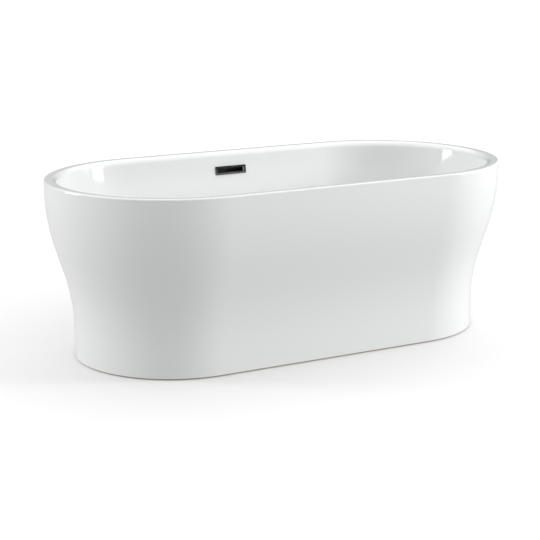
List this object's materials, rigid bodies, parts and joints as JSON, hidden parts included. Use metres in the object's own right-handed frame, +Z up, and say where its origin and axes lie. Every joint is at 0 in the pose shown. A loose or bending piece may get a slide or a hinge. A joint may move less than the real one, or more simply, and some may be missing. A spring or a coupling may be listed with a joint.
{
  "type": "freestanding bathtub",
  "caption": "Double-ended freestanding bathtub with a waisted skirt, levelling feet, a slot overflow, a click-clack waste and a low trap.",
  "frame": {"origin": "on the floor, under the middle of the bath", "axes": "+Z up, +X along the bath to its right end, -Y towards the front, so the overflow is on the +Y wall"},
  "size_m": [1.6, 0.82, 0.58],
  "materials": {
    "acrylic": "gloss, polished",
    "laminate": "raw glass-fibre laminate",
    "adhesive": "cured bead",
    "board": "raw plywood",
    "steel": "grey primer",
    "zinc": "zinc plated",
    "chrome": "dark mirror",
    "brass": "machined",
    "moulding": "moulded",
    "hose": "moulded",
    "latch": "moulded",
    "seal": "matt"
  },
  "bodies": {
    "bath": {"inner_tub": "acrylic", "inner_laminate": "laminate", "outer_skirt": "acrylic", "skirt_laminate": "laminate", "rim_bond": "adhesive", "base_board": "board", "left_channel": "steel", "middle_channel": "steel", "right_channel": "steel", "front_tie_bar": "steel", "back_tie_bar": "steel", "left_front_bracket": "steel", "left_back_bracket": "steel", "right_front_bracket": "steel", "right_back_bracket": "steel", "board_screws": "zinc", "bracket_screws": "zinc", "weld_nuts": "zinc", "lock_nuts": "zinc", "drain_flange": "chrome", "flange_gasket": "seal", "floor_gasket": "seal", "waste_body": "moulding", "plug_cartridge": "brass", "plug_spring": "zinc", "trap_nut": "moulding", "trap_washer": "seal", "dip_tube": "moulding", "trap_body": "moulding", "trap_cap": "moulding", "outlet_nut": "moulding", "outlet_seal": "seal", "outlet_elbow": "moulding", "overflow_cover": "chrome", "overflow_insert": "zinc", "overflow_gasket": "seal", "overflow_body": "moulding", "overflow_screws": "zinc", "overflow_pipe": "hose", "overflow_pipe_nut": "moulding"},
    "plug": {"plug_cap": "chrome", "plug_seal": "seal", "plug_stem": "brass"},
    "latch": {"latch_ring": "latch"},
    "left_front_pad": {"left_front_pad": "moulding"},
    "left_front_stem": {"left_front_stem": "zinc"},
    "left_back_pad": {"left_back_pad": "moulding"},
    "left_back_stem": {"left_back_stem": "zinc"},
    "right_front_pad": {"right_front_pad": "moulding"},
    "right_front_stem": {"right_front_stem": "zinc"},
    "right_back_pad": {"right_back_pad": "moulding"},
    "right_back_stem": {"right_back_stem": "zinc"},
    "middle_pad": {"middle_pad": "moulding"},
    "middle_stem": {"middle_stem": "zinc"}
  },
  "joints": [
    {"name": "plug_lift", "type": "slide", "parent": "bath", "child": "plug", "axis": [0, 0, 1], "range_m": [0, 0.009], "deforming": ["plug_spring"]},
    {"name": "latch_turn", "type": "hinge", "parent": "plug", "child": "latch", "pos_m": [0, 0, 0.1475], "axis": [0, 0, 1], "range_deg": [0, 45]},
    {"name": "left_front_height", "type": "slide", "parent": "bath", "child": "left_front_pad", "axis": [0, 0, 1], "range_m": [-0.014, 0.0035]},
    {"name": "left_front_screw", "type": "hinge", "parent": "left_front_pad", "child": "left_front_stem", "pos_m": [-0.43, -0.18, 0.06], "axis": [0, 0, 1], "range_deg": [-2880, 720]},
    {"name": "left_back_height", "type": "slide", "parent": "bath", "child": "left_back_pad", "axis": [0, 0, 1], "range_m": [-0.014, 0.0035]},
    {"name": "left_back_screw", "type": "hinge", "parent": "left_back_pad", "child": "left_back_stem", "pos_m": [-0.43, 0.18, 0.06], "axis": [0, 0, 1], "range_deg": [-2880, 720]},
    {"name": "right_front_height", "type": "slide", "parent": "bath", "child": "right_front_pad", "axis": [0, 0, 1], "range_m": [-0.014, 0.0035]},
    {"name": "right_front_screw", "type": "hinge", "parent": "right_front_pad", "child": "right_front_stem", "pos_m": [0.43, -0.18, 0.06], "axis": [0, 0, 1], "range_deg": [-2880, 720]},
    {"name": "right_back_height", "type": "slide", "parent": "bath", "child": "right_back_pad", "axis": [0, 0, 1], "range_m": [-0.014, 0.0035]},
    {"name": "right_back_screw", "type": "hinge", "parent": "right_back_pad", "child": "right_back_stem", "pos_m": [0.43, 0.18, 0.06], "axis": [0, 0, 1], "range_deg": [-2880, 720]},
    {"name": "middle_height", "type": "slide", "parent": "bath", "child": "middle_pad", "axis": [0, 0, 1], "range_m": [-0.014, 0.0035]},
    {"name": "middle_screw", "type": "hinge", "parent": "middle_pad", "child": "middle_stem", "pos_m": [-0.16, 0, 0.06], "axis": [0, 0, 1], "range_deg": [-2880, 720]}
  ],
  "couplings": [
    {"joint": "latch_turn", "follows": "plug_lift", "rad_per_m": 87.26},
    {"joint": "left_front_screw", "follows": "left_front_height", "rad_per_m": 3590},
    {"joint": "left_back_screw", "follows": "left_back_height", "rad_per_m": 3590},
    {"joint": "right_front_screw", "follows": "right_front_height", "rad_per_m": 3590},
    {"joint": "right_back_screw", "follows": "right_back_height", "rad_per_m": 3590},
    {"joint": "middle_screw", "follows": "middle_height", "rad_per_m": 3590}
  ]
}
